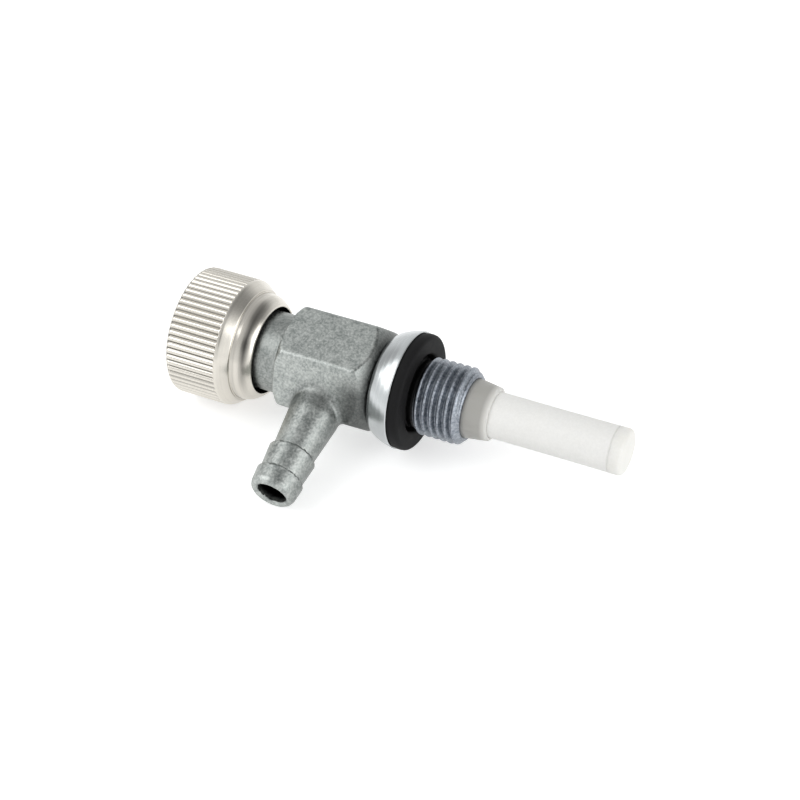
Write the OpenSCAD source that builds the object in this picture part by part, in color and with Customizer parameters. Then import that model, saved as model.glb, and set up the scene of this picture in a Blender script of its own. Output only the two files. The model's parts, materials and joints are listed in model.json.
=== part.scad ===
// Fuel tap for a small tank: a knurled knob screws a pad on and off a seat inside a
// hexagonal die casting, which has a hose barb at its side and a strainer in the tank.
// Millimetres. The thread's axis is X, with the tank at +X, and +Z is up: the tap lies
// as it rests, on the knob and the barb. The origin is on the axis, in the face of the
// rubber washer that seals on the tank. The valve is drawn shut.

/* [Tank spigot] */
// Outside diameter of the tank thread
thread_d = 10; // [9.6:0.1:11]
// Length of the spigot past the sealing face
spigot_len = 6.9; // [6:0.1:12]
// Chamfer at the thread's open end
thread_chamfer = 0.75; // [0.3:0.05:0.9]
// Depth of the relief groove behind the thread
relief_depth = 0.6; // [0.3:0.05:0.8]
// Distance from the sealing face to the first turn of the thread
relief_end = 0.9; // [0.5:0.1:1.5]
// Bore in the spigot that holds the strainer
inlet_d = 7.4; // [6.6:0.1:7.6]
// Depth of that bore
inlet_depth = 9.45; // [6:0.05:11]

/* [Hexagon] */
// Width of the hexagon across its flats
hex_af = 13; // [12.6:0.1:17]
// Length of the hexagon
hex_len = 12.8; // [12:0.1:16]
// Diameter that the corners are turned down to at the tank end
hex_front_d = 12.8; // [12.4:0.1:13.4]
// Diameter that the corners are turned down to at the knob end
hex_back_d = 13.3; // [12.6:0.1:14]
// Slope of the turned corners at the tank end, from the end face
hex_front_angle = 60; // [30:1:66]
// Slope of the turned corners at the knob end, from the end face
hex_back_angle = 48; // [30:1:66]
// Width of the land between the hexagon and the cup washer
land_w = 0.35; // [0.2:0.05:1]
// Diameter of that land
land_d = 11.6; // [10.8:0.1:12.2]

/* [Neck] */
// Diameter of the neck that the knob's collar runs round
neck_d = 10.4; // [9.8:0.1:10.8]
// Length of the neck
neck_len = 6.7; // [6.4:0.1:9]

/* [Hose barb] */
// Distance from the barb's axis to the tank end of the hexagon
barb_setback = 6.6; // [5:0.1:7]
// Distance from the tap's axis to the barb's mouth
barb_reach = 20.1; // [18:0.1:30]
// Bore of the barb
barb_bore_d = 3.9; // [2.5:0.1:4.2]
// Diameter of the barb's root at the hexagon
barb_root_d = 6.6; // [6.2:0.1:8]
// Diameter of the stem just before the first ridge
barb_stem_d = 5.5; // [5:0.1:6]
// Diameter over the barb's ridges
barb_ridge_d = 6.3; // [6:0.1:7]
// Diameter at the small end of each ridge
barb_waist_d = 5.65; // [5:0.05:6]
// Length of one ridge
barb_ridge_len = 3.45; // [2.5:0.05:4.5]
// Wall left at the rounded mouth
barb_lip = 0.75; // [0.4:0.05:1.2]

/* [Knob] */
// Diameter over the knurl
knob_d = 16.8; // [16:0.1:22]
// Length of the knurled band, with its rounded end
knurl_len = 7.1; // [5:0.1:12]
// Number of teeth in the knurl
knurl_teeth = 60; // [40:1:80]
// Depth of the knurl
knurl_depth = 0.32; // [0.15:0.01:0.45]
// Width of the plain band at the front of the knurl
knob_band = 0.6; // [0.4:0.1:2]
// Rounding of the knob's front shoulder
knob_shoulder_r = 1; // [0.5:0.1:1.2]
// Rounding of the knob's far end
knob_end_r = 0.5; // [0.3:0.1:1]
// Diameter of the collar round the neck
collar_d = 14.2; // [13.6:0.1:15]
// Length of the collar past the knob's front face
collar_len = 2.6; // [2:0.1:4]
// Hole in the collar
collar_bore_d = 11.5; // [11.2:0.1:12.4]
// Depth of that hole
collar_bore_depth = 4.3; // [4:0.1:5]
// Gap between the collar and the hexagon with the valve shut
collar_gap = 3.35; // [2.8:0.1:4]
// Rise of the collar's rounded side off a plain cone
collar_rise = 0.42; // [0.2:0.02:0.6]
// Rounding of the collar's rim
collar_rim_r = 0.25; // [0.1:0.05:0.4]
// Depth and width of the groove where the collar meets the knob's face
face_groove = 0.25; // [0.15:0.05:0.4]

/* [Valve] */
// How far the spindle rises from shut to open
lift = 2; // [1:0.1:2]
// Bore of the chamber and the gland
chamber_d = 6.8; // [6.4:0.1:7.2]
// Bore of the seat
port_d = 2.6; // [2:0.1:3]
// Diameter of the raised seat
seat_d = 4; // [3.6:0.1:4.2]
// Height of the raised seat
seat_h = 0.6; // [0.3:0.1:1]
// Distance from the barb's bore to the seat
seat_gap = 2.3; // [1.8:0.1:3]
// Diameter of the spindle's thread
spindle_thread_d = 8; // [7.8:0.1:8.4]
// Diameter of the spindle's shank, which is pressed into the knob
shank_d = 5; // [4:0.1:5.4]
// Length of shank held in the knob
shank_grip = 5.4; // [3:0.1:5.5]
// Diameter of the spindle's tip
tip_d = 4.6; // [4.4:0.1:5]
// Length of the lip at the tip that is rolled over the foot's head
socket_lip = 0.7; // [0.5:0.05:0.9]
// Section of the O-ring
oring_section = 1.3; // [1:0.1:1.4]
// Distance from the barb's bore to the middle of the O-ring
oring_setback = 1.4; // [1.3:0.1:1.8]
// Diameter of the pad
pad_d = 4; // [3.6:0.1:4.2]
// Thickness of the pad
pad_t = 1.5; // [1.1:0.1:1.8]
// Diameter of the swivelling foot that holds the pad
foot_d = 5.2; // [5:0.1:5.6]
// Length of that foot
foot_len = 2; // [1.8:0.1:2.2]
// Diameter of the foot's head, held in the spindle's tip
head_d = 3.2; // [2.8:0.1:3.4]
// Thickness of that head
head_len = 0.75; // [0.6:0.05:1]
// Diameter of the stem between the foot and its head
stem_d = 2.4; // [2:0.1:2.5]
// Diameter of the stop ring's hole
stop_ring_bore_d = 5.8; // [5.6:0.1:6.2]
// Diameter of the stop ring
stop_ring_d = 9; // [8.6:0.1:9.2]
// Thickness of the stop ring
stop_ring_t = 1; // [0.6:0.1:1.2]

/* [Washers] */
// Height of the cup washer
cup_h = 3.25; // [2.5:0.05:4]
// Diameter over the cup washer's rim
cup_rim_d = 15.4; // [14.8:0.1:18]
// Diameter of the cup washer's back
cup_back_d = 12.8; // [12.4:0.1:13.6]
// Rise of its domed side off a plain cone
cup_rise = 0.24; // [0.1:0.02:0.4]
// Thickness of its sheet
cup_t = 0.6; // [0.4:0.05:0.8]
// Height of rubber proud of the rim
rubber_proud = 1.5; // [0.8:0.1:2]
// Distance from the cup's rim in to the side of the proud rubber
rubber_inset = 0.15; // [0.05:0.05:0.4]
// Rounding of the rubber's edge
rubber_edge_r = 0.4; // [0.2:0.1:0.6]

/* [Strainer] */
// Distance from the spigot's end to the strainer's closed end
strainer_len = 20.65; // [15:0.05:40]
// Diameter of the gauze sleeve
gauze_d = 6; // [5.4:0.1:6.4]
// Thickness of the gauze sleeve
gauze_t = 0.25; // [0.2:0.05:0.35]
// Diameter of the strainer's collar where it meets the spigot
strainer_collar_d = 7.7; // [7.5:0.1:8]
// Length of that collar
strainer_collar_len = 3.2; // [2.4:0.1:5]
// Diameter of its small end
strainer_tip_d = 6.9; // [6.8:0.1:7.4]
// Length of the plug inside the spigot
strainer_plug_len = 4.5; // [3:0.1:6]
// Length of gauze held in the collar
gauze_grip = 1.6; // [1:0.1:2]
// Length of the end cap
strainer_cap_len = 1.65; // [1:0.05:3]
// Number of ribs under the gauze
strainer_ribs = 4; // [3:1:6]
// Width of each rib
rib_w = 1; // [0.6:0.1:1.2]
// Height of each rib
rib_h = 0.75; // [0.5:0.05:1]
// Length of the cap's spigot inside the gauze
cap_grip = 1; // [0.6:0.1:1.5]
// Rounding of the closed end
cap_edge_r = 0.6; // [0.3:0.1:0.8]

/* [Clearances] */
// Radial clearance of what turns or slides
run_fit = 0.05; // [0.02:0.01:0.1]
// End clearance of what turns or slides
end_fit = 0.1; // [0.05:0.01:0.15]
// Clearance of the washers on the spigot
washer_fit = 0.05; // [0.02:0.01:0.2]
// Side room of the O-ring in its groove, at each side
oring_fit = 0.1; // [0.05:0.01:0.15]

/* [Hidden] */
$fn = 96;

// Steps along a rounded edge, and an overlap that lets cuts run past a face
arc_steps = 6;
past = 0.5;

// Broken edges: the fine ones of plated and moulded parts, and those of turned brass
fine_edge = 0.1;
turned_edge = 0.3;

// Places along the tap's axis, from the tank side to the knob
thread_end = spigot_len - thread_chamfer;
cup_rim_x = -rubber_proud;
cup_back_x = cup_rim_x - cup_h;
hex_front_x = cup_back_x - land_w;
hex_back_x = hex_front_x - hex_len;
neck_end_x = hex_back_x - neck_len;
collar_rim_x = hex_back_x - collar_gap;
knob_face_x = collar_rim_x - collar_len;
shoulder_x = knob_face_x - knob_shoulder_r;
knurl_front_x = shoulder_x - knob_band;
knob_end_x = knurl_front_x - knurl_len;
collar_floor_x = collar_rim_x - collar_bore_depth;
shank_end_x = collar_floor_x - shank_grip;

// The valve, from the seat back to the stop ring
barb_x = hex_front_x - barb_setback;
seat_x = barb_x + barb_bore_d / 2 + seat_gap;
chamber_floor_x = seat_x + seat_h;
inlet_floor_x = spigot_len - inlet_depth;
foot_front_x = seat_x - (pad_t - foot_len / 2);
foot_back_x = foot_front_x - foot_len;
tip_x = foot_back_x - end_fit;
head_front_x = tip_x - socket_lip - end_fit;
oring_x = barb_x - barb_bore_d / 2 - oring_setback;
oring_groove_w = oring_section + 2 * oring_fit;
gland_front_x = oring_x + oring_groove_w / 2 + 2 * turned_edge;
gland_step_x = oring_x - lift - oring_groove_w / 2 - 2 * end_fit;
spindle_thread_front_x = gland_step_x - end_fit;
stop_ring_x = neck_end_x + stop_ring_t;
spindle_thread_back_x = stop_ring_x + lift + end_fit;

// The barb hangs so far below the level that its tip rests where the knob does
barb_tip_z = barb_reach - barb_lip;
barb_tip_r = barb_ridge_r(barb_tip_z);
barb_start = 1;
barb_drop = asin(knob_d / 2 / norm([barb_tip_z, barb_tip_r])) - atan2(barb_tip_r, barb_tip_z);

// The strainer, from its plug to its closed end
plug_x = spigot_len - strainer_plug_len;
strainer_end_x = spigot_len + strainer_len;
strainer_collar_x = spigot_len + strainer_collar_len;
gauze_seat_x = strainer_collar_x - gauze_grip;
cap_x = strainer_end_x - strainer_cap_len;
rib_inner_r = gauze_d / 2 - gauze_t - rib_h;

// Radius of the last ridge at distance z from the tap's axis
function barb_ridge_r(z) =
    let (share = (z - (barb_reach - barb_ridge_len + barb_lip)) / barb_ridge_len)
    (barb_ridge_d - share * (barb_ridge_d - barb_waist_d)) / 2;

// Points of a shallow arc from p to q that stands rise off the straight line between them
function bow(p, q, rise, steps = arc_steps) =
    let (along = q - p, side = [-along[1], along[0]] / norm(along))
    [for (i = [0:steps]) let (t = i / steps) p + along * t + side * rise * 4 * t * (1 - t)];

// Points of a quarter round of radius r about a centre, between two angles
function rounding(centre, r, from, to, steps = arc_steps) =
    [for (i = [0:steps]) let (a = from + (to - from) * i / steps) centre + r * [cos(a), sin(a)]];

// A solid turned about the X axis from [x, radius] points
module turned(points) {
    rotate([0, 90, 0])
        rotate_extrude()
            polygon([for (p = points) [p[1], p[0]]]);
}

// A plain length of bar, or the cutter for a plain bore, along the X axis
module bar(from, to, d) {
    translate([from, 0, 0])
        rotate([0, 90, 0])
            cylinder(h = to - from, d = d);
}

// Puts its children's Z axis on the barb's axis, pointing out of the mouth
module on_barb() {
    translate([barb_x, 0, 0])
        rotate([90 + barb_drop, 0, 0])
            children();
}

// A knurled bar: straight teeth with blunt crests and sharp valleys. Each tooth is four
// points, given as a share of the pitch and a radius.
module knurled_bar(from, to) {
    pitch = 360 / knurl_teeth;
    tip_r = knob_d / 2;
    flank_r = tip_r - knurl_depth * 0.25;
    tooth = [[0, tip_r - knurl_depth], [0.28, flank_r], [0.5, tip_r], [0.72, flank_r]];
    translate([from, 0, 0])
        rotate([0, 90, 0])
            linear_extrude(height = to - from)
                polygon([for (i = [0:knurl_teeth - 1], point = tooth)
                    point[1] * [cos((i + point[0]) * pitch), sin((i + point[0]) * pitch)]]);
}

// The hexagon with its corners turned down at both ends. Two corners lie in the plane
// of the barb, which is where the die parted.
module hexagon() {
    corner_r = hex_af / sqrt(3);
    clear_r = corner_r + past;
    front_cut = (clear_r - hex_front_d / 2) * tan(hex_front_angle);
    back_cut = (clear_r - hex_back_d / 2) * tan(hex_back_angle);
    intersection() {
        translate([hex_back_x, 0, 0])
            rotate([barb_drop - 90, 0, 0])
                rotate([0, 90, 0])
                    cylinder(h = hex_len, r = corner_r, $fn = 6);
        turned([[hex_back_x, 0], [hex_back_x, hex_back_d / 2], [hex_back_x + back_cut, clear_r],
                [hex_front_x - front_cut, clear_r], [hex_front_x, hex_front_d / 2], [hex_front_x, 0]]);
    }
}

// The barb: a plain root, a tapered stem and two ridges that a hose slides over and
// can't slide off
module barb_outside() {
    clear = 0.4;
    root_z = hex_af / sqrt(3) + clear;
    last_z = barb_reach - barb_ridge_len + barb_lip;
    first_z = last_z - barb_ridge_len;
    ridge_r = barb_ridge_d / 2;
    waist_r = barb_waist_d / 2;
    lead = 0.25;
    mouth_r = barb_tip_r - barb_lip;
    on_barb()
        rotate_extrude()
            polygon(concat(
                [[0, barb_start], [barb_root_d / 2, barb_start], [barb_root_d / 2, root_z],
                 [barb_stem_d / 2, first_z - lead], [ridge_r, first_z],
                 [waist_r, last_z - lead / 2], [ridge_r, last_z]],
                rounding([mouth_r, barb_tip_z], barb_lip, 0, 70),
                [[barb_bore_d / 2, barb_reach], [0, barb_reach]]));
}

// The drilling in the barb, opened out a little at the mouth
module barb_bore() {
    bore_r = barb_bore_d / 2;
    mouth = 0.35;
    on_barb()
        rotate_extrude()
            polygon([[0, barb_start], [bore_r, barb_start], [bore_r, barb_reach - mouth],
                     [bore_r + mouth + past, barb_reach + past], [0, barb_reach + past]]);
}

// The neck, the land under the cup washer and the spigot, turned on the casting.
// The thread is drawn as a plain cylinder of its outside diameter.
module turned_ends() {
    thread_r = thread_d / 2;
    turned([[neck_end_x, 0], [neck_end_x, neck_d / 2 - turned_edge], [neck_end_x + turned_edge, neck_d / 2],
            [hex_back_x + past, neck_d / 2], [hex_front_x - past, land_d / 2], [cup_back_x, land_d / 2],
            [cup_back_x, thread_r], [-relief_end, thread_r],
            [relief_depth - relief_end, thread_r - relief_depth],
            [relief_end - relief_depth, thread_r - relief_depth], [relief_end, thread_r],
            [thread_end, thread_r], [spigot_len, thread_r - thread_chamfer], [spigot_len, 0]]);
}

// Everything bored along the axis: stop ring seat, spindle thread, gland and chamber,
// the raised seat with its port, and the socket for the strainer
module axial_bore() {
    turned([[neck_end_x - past, 0], [neck_end_x - past, stop_ring_d / 2], [stop_ring_x, stop_ring_d / 2],
            [stop_ring_x, spindle_thread_d / 2], [gland_step_x, spindle_thread_d / 2],
            [gland_step_x, chamber_d / 2], [chamber_floor_x, chamber_d / 2], [chamber_floor_x, seat_d / 2],
            [seat_x, seat_d / 2], [seat_x, port_d / 2], [inlet_floor_x, port_d / 2],
            [inlet_floor_x, inlet_d / 2], [spigot_len + past, inlet_d / 2], [spigot_len + past, 0]]);
}

// The die casting: spigot, hexagon, neck and barb are one piece, drilled from three ends
module tap_body() {
    color("darkgray")
        difference() {
            union() {
                turned_ends();
                hexagon();
                barb_outside();
            }
            axial_bore();
            barb_bore();
        }
}

// The knob: a knurled cap, a plain shoulder and a rounded collar, turned in one piece
module control_knob() {
    tip_r = knob_d / 2;
    core_r = tip_r - knurl_depth * 2;
    collar_r = collar_d / 2;
    rim_r = collar_bore_d / 2 + fine_edge;
    side_x = knob_face_x + collar_len * 0.3;
    color("silver")
        difference() {
            union() {
                intersection() {
                    knurled_bar(knob_end_x, knurl_front_x);
                    turned(concat(
                        [[knob_end_x, 0]],
                        rounding([knob_end_x + knob_end_r, tip_r - knob_end_r], knob_end_r, 180, 90, 3),
                        [[knurl_front_x, tip_r], [knurl_front_x, 0]]));
                }
                turned(concat(
                    [[knurl_front_x - past, 0], [knurl_front_x - past, core_r], [knurl_front_x, core_r],
                     [knurl_front_x, tip_r - fine_edge], [knurl_front_x + fine_edge, tip_r]],
                    rounding([shoulder_x, tip_r - knob_shoulder_r], knob_shoulder_r, 90, 8),
                    [[knob_face_x, collar_r + face_groove],
                     [knob_face_x - face_groove, collar_r + face_groove],
                     [knob_face_x - face_groove, collar_r]],
                    bow([side_x, collar_r], [collar_rim_x - fine_edge, rim_r + collar_rim_r], collar_rise),
                    [[collar_rim_x, rim_r], [collar_rim_x, 0]]));
            }
            turned([[collar_floor_x, 0], [collar_floor_x, collar_bore_d / 2],
                    [collar_rim_x - fine_edge, collar_bore_d / 2], [collar_rim_x + past, rim_r + past],
                    [collar_rim_x + past, 0]]);
            bar(shank_end_x, collar_floor_x + past, shank_d);
        }
}

// The spindle: pressed into the knob, threaded in the neck, with an O-ring groove and a
// socket at its tip whose lip is rolled over the foot's head
module valve_spindle() {
    gland_r = chamber_d / 2 - run_fit;
    thread_r = spindle_thread_d / 2 - run_fit;
    groove_r = gland_r - oring_section + run_fit;
    edge = turned_edge;
    color("goldenrod")
        difference() {
            turned([[shank_end_x, 0], [shank_end_x, shank_d / 2 - edge], [shank_end_x + edge, shank_d / 2],
                    [spindle_thread_back_x, shank_d / 2], [spindle_thread_back_x, thread_r - edge],
                    [spindle_thread_back_x + edge, thread_r], [spindle_thread_front_x - edge, thread_r],
                    [spindle_thread_front_x, gland_r], [oring_x - oring_groove_w / 2, gland_r],
                    [oring_x - oring_groove_w / 2, groove_r], [oring_x + oring_groove_w / 2, groove_r],
                    [oring_x + oring_groove_w / 2, gland_r], [gland_front_x, gland_r],
                    [gland_front_x, tip_d / 2], [tip_x - edge, tip_d / 2], [tip_x, tip_d / 2 - edge],
                    [tip_x, 0]]);
            bar(head_front_x - head_len - end_fit, head_front_x + end_fit, head_d + 2 * run_fit);
            bar(head_front_x, tip_x + past, stem_d + 2 * run_fit);
        }
}

// The O-ring that keeps fuel out of the neck
module spindle_oring() {
    outer_r = chamber_d / 2 - run_fit / 2;
    ring_r = (oring_section - run_fit) / 2;
    color("dimgray")
        translate([oring_x, 0, 0])
            rotate([0, 90, 0])
                rotate_extrude()
                    translate([outer_r - ring_r, 0])
                        circle(r = ring_r, $fn = 32);
}

// The foot: a cup for the pad, on a headed stem that turns in the spindle's socket
module valve_foot() {
    edge = turned_edge;
    recess_x = seat_x - pad_t;
    color("khaki")
        turned([[head_front_x - head_len, 0], [head_front_x - head_len, head_d / 2],
                [head_front_x, head_d / 2], [head_front_x, stem_d / 2],
                [foot_back_x, stem_d / 2], [foot_back_x, foot_d / 2 - edge],
                [foot_back_x + edge, foot_d / 2], [foot_front_x, foot_d / 2], [foot_front_x, pad_d / 2],
                [recess_x, pad_d / 2], [recess_x, 0]]);
}

// The rubber pad that shuts the seat
module valve_pad() {
    color("black")
        bar(seat_x - pad_t, seat_x, pad_d);
}

// The ring pressed into the neck's mouth, which stops the spindle from coming right out
module stop_ring() {
    color("gold")
        difference() {
            bar(neck_end_x, stop_ring_x, stop_ring_d);
            bar(neck_end_x - past, stop_ring_x + past, stop_ring_bore_d);
        }
}

// Side of the cup washer, from its back to its rim, moved inwards by a distance
function cup_side(inset) =
    bow([cup_back_x + inset, cup_back_d / 2 - inset], [cup_rim_x, cup_rim_d / 2 - inset], cup_rise);

// The domed cup washer that holds the rubber in
module cup_washer() {
    bore_r = thread_d / 2 + washer_fit;
    color("gainsboro")
        turned(concat(
            [[cup_back_x, bore_r]],
            cup_side(0),
            [for (i = [arc_steps:-1:0]) cup_side(cup_t)[i]],
            [[cup_back_x + cup_t, bore_r]]));
}

// The rubber washer: it fills the cup and stands proud of its rim
module seal_washer() {
    bore_r = thread_d / 2 + washer_fit;
    rubber_r = cup_rim_d / 2 - rubber_inset;
    edge_r = rubber_edge_r;
    color("black")
        turned(concat(
            [[cup_back_x + cup_t, bore_r]],
            cup_side(cup_t),
            [[cup_rim_x, rubber_r]],
            rounding([-edge_r, rubber_r - edge_r], edge_r, 90, 0),
            rounding([-edge_r, bore_r + 2 * edge_r], edge_r, 0, -90),
            [[-2 * edge_r, bore_r]]));
}

// The moulded strainer frame: a plug and collar, ribs and a closed end cap
module strainer_frame() {
    sleeve_bore_r = gauze_d / 2 - gauze_t;
    lip_r = gauze_d / 2 + 2 * fine_edge;
    lip_x = strainer_collar_x - (strainer_tip_d / 2 - lip_r);
    plug_r = inlet_d / 2;
    plug_edge_r = plug_r - 2 * fine_edge;
    color("whitesmoke") {
        difference() {
            turned([[plug_x, 0], [plug_x, plug_edge_r], [plug_x + plug_r - plug_edge_r, plug_r],
                    [spigot_len, plug_r], [spigot_len, strainer_collar_d / 2],
                    [lip_x, strainer_tip_d / 2], [strainer_collar_x, lip_r], [strainer_collar_x, 0]]);
            bar(gauze_seat_x, strainer_collar_x + past, gauze_d);
            bar(plug_x - past, gauze_seat_x + past, rib_inner_r * 2);
        }
        intersection() {
            for (i = [0:strainer_ribs - 1])
                rotate([i * 360 / strainer_ribs, 0, 0])
                    translate([gauze_seat_x - past, -rib_w / 2, rib_inner_r])
                        cube([cap_x - gauze_seat_x + 2 * past, rib_w, gauze_d / 2]);
            bar(gauze_seat_x - past, cap_x + past, sleeve_bore_r * 2);
        }
        turned(concat(
            [[cap_x - cap_grip, 0], [cap_x - cap_grip, sleeve_bore_r], [cap_x, sleeve_bore_r],
             [cap_x, gauze_d / 2]],
            rounding([strainer_end_x - cap_edge_r, gauze_d / 2 - cap_edge_r], cap_edge_r, 90, 0),
            [[strainer_end_x, 0]]));
    }
}

// The fine sleeve welded over the ribs, drawn as a plain thin tube
module strainer_gauze() {
    color("white")
        difference() {
            bar(gauze_seat_x, cap_x, gauze_d);
            bar(gauze_seat_x - past, cap_x + past, gauze_d - 2 * gauze_t);
        }
}

tap_body();
control_knob();
valve_spindle();
spindle_oring();
valve_foot();
valve_pad();
stop_ring();
cup_washer();
seal_washer();
strainer_frame();
strainer_gauze();
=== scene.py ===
# %% [markdown]
# # Fuel tap
# A small screw-down fuel tap lies on a white table: a knurled knob, a hexagonal zinc casting
# with a hose barb, a cup washer with its rubber, a fine tank thread and a nylon strainer.
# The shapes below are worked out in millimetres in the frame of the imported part, where X runs
# along the tap's axis to the tank and Z is up. They turn into metres when a mesh is made.

import json
import math

import bmesh
import bpy
import numpy as np
from mathutils import Matrix, Vector

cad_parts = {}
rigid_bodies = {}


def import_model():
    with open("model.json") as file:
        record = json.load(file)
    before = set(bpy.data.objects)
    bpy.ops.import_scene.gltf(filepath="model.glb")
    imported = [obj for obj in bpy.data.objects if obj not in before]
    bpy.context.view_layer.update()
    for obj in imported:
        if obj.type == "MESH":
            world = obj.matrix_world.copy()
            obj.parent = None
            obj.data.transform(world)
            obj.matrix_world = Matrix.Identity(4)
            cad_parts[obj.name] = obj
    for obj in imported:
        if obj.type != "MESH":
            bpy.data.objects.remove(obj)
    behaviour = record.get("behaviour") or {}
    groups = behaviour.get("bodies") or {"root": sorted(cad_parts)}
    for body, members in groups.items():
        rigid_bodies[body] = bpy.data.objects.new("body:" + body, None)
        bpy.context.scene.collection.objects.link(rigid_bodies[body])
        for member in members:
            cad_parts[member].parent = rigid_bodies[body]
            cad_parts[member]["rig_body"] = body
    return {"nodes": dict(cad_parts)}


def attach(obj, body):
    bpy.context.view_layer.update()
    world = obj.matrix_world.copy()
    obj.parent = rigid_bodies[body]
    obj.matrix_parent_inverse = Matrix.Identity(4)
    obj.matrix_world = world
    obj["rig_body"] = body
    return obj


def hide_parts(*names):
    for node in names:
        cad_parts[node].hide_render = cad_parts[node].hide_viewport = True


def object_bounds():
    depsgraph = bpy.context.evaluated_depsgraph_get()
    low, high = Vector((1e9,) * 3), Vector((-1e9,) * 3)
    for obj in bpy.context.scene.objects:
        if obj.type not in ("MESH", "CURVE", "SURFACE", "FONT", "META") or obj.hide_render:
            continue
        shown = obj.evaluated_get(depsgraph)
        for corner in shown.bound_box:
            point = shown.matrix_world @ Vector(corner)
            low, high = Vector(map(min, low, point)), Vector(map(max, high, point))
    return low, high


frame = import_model()
packed_low, packed_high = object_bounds()
MM = 0.001

# %% [markdown]
# ## Camera
# Its place and its three directions were fitted to the photograph's outlines. It stands 264 mm
# from the tap, 26 degrees round to the right and 40 degrees up, and leans by a degree.

# %% Camera
camera_place = Vector((87.931, -184.745, 167.759)) * MM
camera_right = Vector((0.90250, 0.43041, -0.01585)).normalized()
camera_back = Vector((0.34116, -0.69194, 0.63626)).normalized()
camera_up = camera_back.cross(camera_right).normalized()
camera_right = camera_up.cross(camera_back)
camera_data = bpy.data.cameras.new("camera")
camera_data.lens = 94.741
camera_data.sensor_width = 36.0
camera_data.clip_start = 0.01
camera_data.clip_end = 20.0
camera = bpy.data.objects.new("camera", camera_data)
bpy.context.scene.collection.objects.link(camera)
turn = Matrix((camera_right, camera_up, camera_back)).transposed()
camera.matrix_world = Matrix.Translation(camera_place) @ turn.to_4x4()
bpy.context.scene.camera = camera
bpy.context.scene.view_settings.view_transform = "Standard"

# %% [markdown]
# ## Sizes
# All in millimetres. Places along the axis run from the strainer's tip at +27.55 down to the
# knob's far end at -32.55. The barb hangs below the level by `BARB_DROP`.

# %% Sizes
SPIGOT_END = 6.9
THREAD_R = 5.0
THREAD_PITCH = 1.0
THREAD_DEPTH = 0.6
THREAD_CHAMFER = 0.75
RELIEF_END = 0.9
RELIEF_R = 4.4
CORE_R = 4.3
CUP_RIM_X = -1.5
CUP_BACK_X = -4.75
HEX_FRONT_X = -5.1
HEX_BACK_X = -17.9
HEX_AF = 13.0
HEX_FRONT_R = 5.75
HEX_FRONT_SLOPE = math.radians(46)
HEX_BACK_R = 6.65
HEX_BACK_SLOPE = math.radians(48)
LAND_R = 5.4
NECK_R = 5.2
NECK_END_X = -24.6
BARB_X = -11.7
BARB_DROP = math.radians(16.695)
BARB_REACH = 20.1
KNOB_R = 8.4
KNOB_END_X = -32.55
KNURL_FRONT_X = -25.45
KNOB_FACE_X = -23.85
COLLAR_RIM_X = -21.25
COLLAR_FLOOR_X = -25.55
SHANK_END_X = -30.95
LIFT = 2.0
TEETH = 60
KNURL_DEPTH = 0.32
BARB_OUT = np.array([0.0, -math.cos(BARB_DROP), -math.sin(BARB_DROP)])
BARB_SIDE = np.cross(np.array([1.0, 0.0, 0.0]), BARB_OUT)

# %% [markdown]
# ## Making meshes
# `add_mesh` turns points in millimetres into an object that rides on its CAD body, stands for
# a CAD node and names its material slot. `closed_grid` joins rows of points that run round the
# axis. It either loops the last row to the first, as for a ring, or closes both ends to a point.


# %% Mesh helpers
def add_mesh(name, points, faces, body, node, material, normals=None, painted_darkening=None):
    """Makes a smooth mesh object from points (millimetres) and quads or triangles. The last
    argument gives each point a value from 0 to 1 that darkens its colour: painted shade, mostly in
    gaps and bores."""
    mesh = bpy.data.meshes.new(name)
    mesh.from_pydata((np.asarray(points, float) * MM).tolist(), [], faces)
    mesh.validate()
    mesh.polygons.foreach_set("use_smooth", np.ones(len(mesh.polygons), bool))
    if normals is not None:
        mesh.normals_split_custom_set_from_vertices(normals.tolist())
    mesh.update()
    if painted_darkening is not None:
        layer = mesh.attributes.new("painted_darkening", "FLOAT", "POINT")
        layer.data.foreach_set("value", np.asarray(painted_darkening, np.float32).ravel())
    mesh.materials.append(material)
    print(name, "has", sum(len(face) - 2 for face in faces), "triangles")
    made = bpy.data.objects.new(name, mesh)
    bpy.context.scene.collection.objects.link(made)
    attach(made, body)
    if node:
        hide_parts(node)
    return made


def outward(points, faces):
    """Turns the faces round if the volume they enclose comes out negative."""
    p = np.asarray(points, float)
    total = 0.0
    for size in (3, 4):
        group = np.array([f for f in faces if len(f) == size], int)
        if len(group):
            for k in range(1, size - 1):
                a, b, c = p[group[:, 0]], p[group[:, k]], p[group[:, k + 1]]
                total += np.einsum("ij,ij->i", a, np.cross(b, c)).sum()
    return faces if total > 0 else [tuple(reversed(f)) for f in faces]


def closed_grid(rows, loop):
    """rows is (n, m, 3): n rows of m points round the axis. loop joins the last row to the
    first; otherwise the first and last rows, which must be on the axis, become one point each."""
    rows = np.asarray(rows, float)
    n, m = rows.shape[:2]
    across = np.arange(m)
    after = (across + 1) % m
    if loop:
        points = rows.reshape(-1, 3)
        first = np.arange(n)
        second = (first + 1) % n
        a = (first[:, None] * m + across).ravel()
        b = (first[:, None] * m + after).ravel()
        c = (second[:, None] * m + after).ravel()
        d = (second[:, None] * m + across).ravel()
        faces = [tuple(f) for f in np.stack([a, b, c, d], 1).tolist()]
        return points, outward(points, faces)
    middle = rows[1:-1].reshape(-1, 3)
    points = np.vstack([middle, rows[0].mean(0), rows[-1].mean(0)])
    start, end = len(middle), len(middle) + 1
    first = np.arange(n - 3)
    a = (first[:, None] * m + across).ravel()
    b = (first[:, None] * m + after).ravel()
    c = ((first[:, None] + 1) * m + after).ravel()
    d = ((first[:, None] + 1) * m + across).ravel()
    faces = [tuple(f) for f in np.stack([a, b, c, d], 1).tolist()]
    last = (n - 3) * m
    faces += [(start, int(after[i]), i) for i in range(m)]
    faces += [(end, last + i, last + int(after[i])) for i in range(m)]
    return points, outward(points, faces)


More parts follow.
